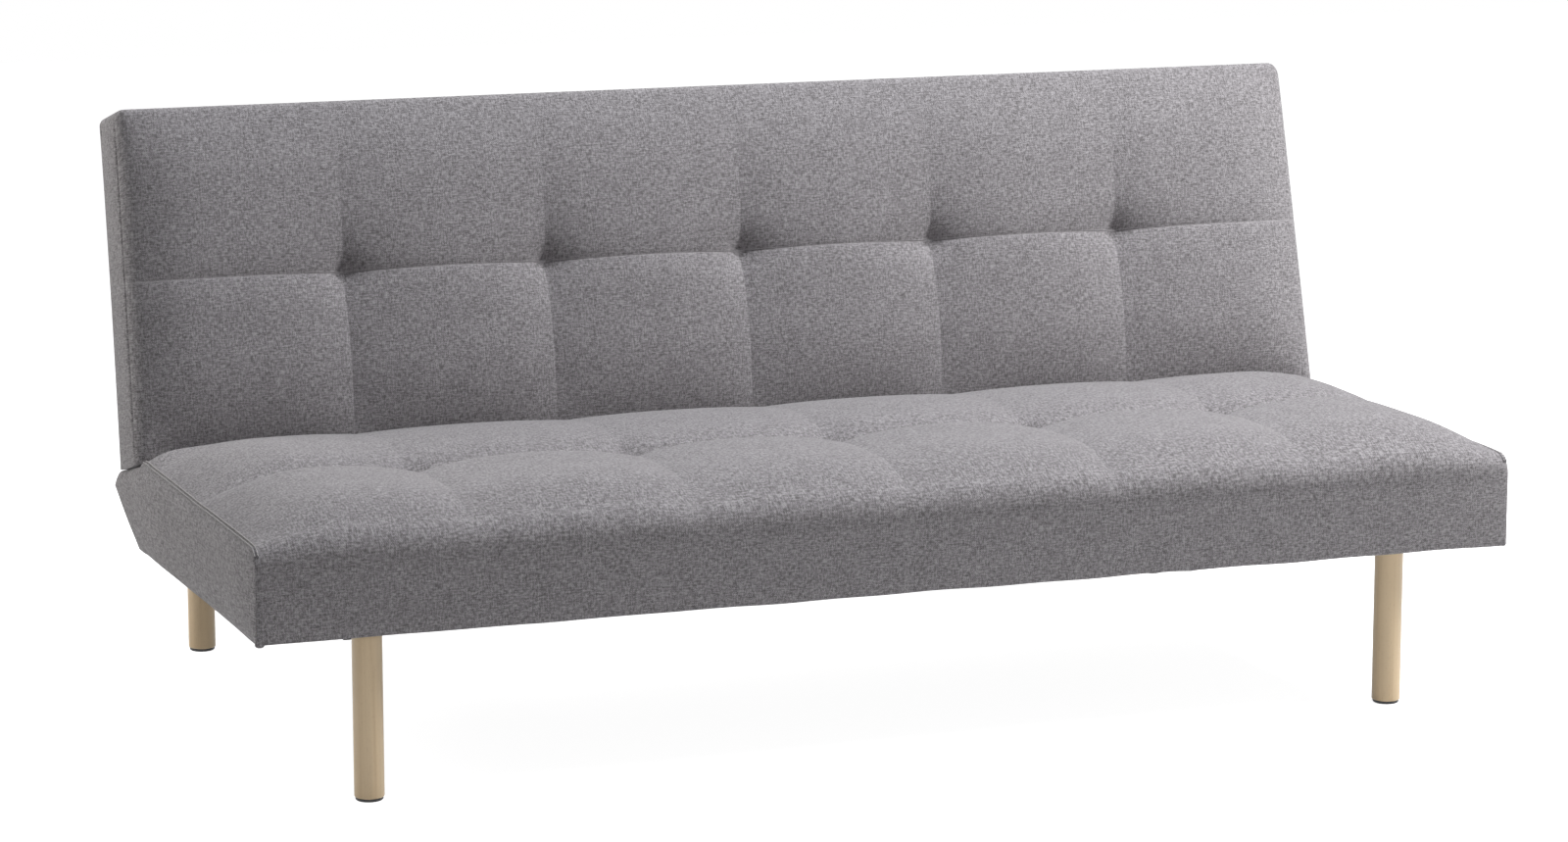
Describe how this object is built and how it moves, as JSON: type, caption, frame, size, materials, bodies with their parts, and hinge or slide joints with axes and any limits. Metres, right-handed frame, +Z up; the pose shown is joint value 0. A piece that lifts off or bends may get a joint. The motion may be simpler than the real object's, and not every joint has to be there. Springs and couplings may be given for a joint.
{
  "type": "click clack sofa bed",
  "caption": "Click clack sofa bed: tufted fabric seat on turned wooden legs, and a backrest that folds down on ratchet hinges to lie level with the seat.",
  "frame": {"origin": "on the floor, under the centre of the bounding box of the sofa with its backrest up", "axes": "+X along the width, towards the right as seen from the front; +Y from the seat's front to the backrest; +Z up"},
  "size_m": [1.816, 0.9946, 0.8308],
  "materials": {
    "fabric": "heather grey woven upholstery",
    "foam": "cream polyurethane foam",
    "lining": "black non-woven lining and elastic webbing",
    "pine": "sawn softwood",
    "beech": "turned pale hardwood, clear satin lacquer",
    "steel": "zinc plated steel",
    "black_steel": "black powder coat",
    "rubber": "black rubber",
    "glide": "black plastic"
  },
  "bodies": {
    "seat_base": {"base_frame": "black_steel", "bumper_left": "rubber", "bumper_right": "rubber", "front_leg_plate_left": "black_steel", "front_leg_plate_right": "black_steel", "glide_front_left": "glide", "glide_front_right": "glide", "glide_rear_left": "glide", "glide_rear_right": "glide", "hinge_seat_arm_left": "steel", "hinge_seat_arm_right": "steel", "leg_bolt_front_left": "steel", "leg_bolt_front_right": "steel", "leg_bolt_rear_left": "steel", "leg_bolt_rear_right": "steel", "leg_front_left": "beech", "leg_front_right": "beech", "leg_rear_left": "beech", "leg_rear_right": "beech", "seat_arm_bolt_front_left": "steel", "seat_arm_bolt_front_right": "steel", "seat_arm_bolt_rear_left": "steel", "seat_arm_bolt_rear_right": "steel", "seat_bearer_centre": "pine", "seat_bearer_left": "pine", "seat_bearer_right": "pine", "seat_cover": "fabric", "seat_cross_rail": "pine", "seat_dust_cover": "lining", "seat_end_board_left": "pine", "seat_end_board_right": "pine", "seat_foam": "foam", "seat_front_rail": "pine", "seat_rear_rail": "pine", "seat_springs": "steel"},
    "back": {"back_arm_bolt_lower_left": "steel", "back_arm_bolt_lower_right": "steel", "back_arm_bolt_upper_left": "steel", "back_arm_bolt_upper_right": "steel", "back_bottom_rail": "pine", "back_cover": "fabric", "back_end_board_left": "pine", "back_end_board_right": "pine", "back_foam": "foam", "back_rear_panel": "fabric", "back_stile_centre": "pine", "back_stile_left": "pine", "back_stile_right": "pine", "back_top_rail": "pine", "back_webbing": "lining", "hinge_back_arm_left": "steel", "hinge_back_arm_right": "steel", "hinge_pin_left": "steel", "hinge_pin_right": "steel", "pawl_pin_left": "steel", "pawl_pin_right": "steel", "pawl_spring_left": "steel", "pawl_spring_right": "steel"},
    "pawl_left": {"pawl_left": "black_steel"},
    "pawl_right": {"pawl_right": "black_steel"}
  },
  "joints": [
    {"name": "back_fold", "type": "hinge", "parent": "seat_base", "child": "back", "pos_m": [0, 0.2195, 0.235], "axis": [-1, 0, 0], "range_deg": [0, 77.2]},
    {"name": "pawl_left_drop", "type": "hinge", "parent": "back", "child": "pawl_left", "pos_m": [-0.7788, 0.26107, 0.26452], "axis": [1, 0, 0], "range_deg": [0, 8], "stiffness_Nm_per_rad": 0.3, "springref_deg": 17.19},
    {"name": "pawl_right_drop", "type": "hinge", "parent": "back", "child": "pawl_right", "pos_m": [0.7788, 0.26107, 0.26452], "axis": [1, 0, 0], "range_deg": [0, 8], "stiffness_Nm_per_rad": 0.3, "springref_deg": 17.19}
  ]
}
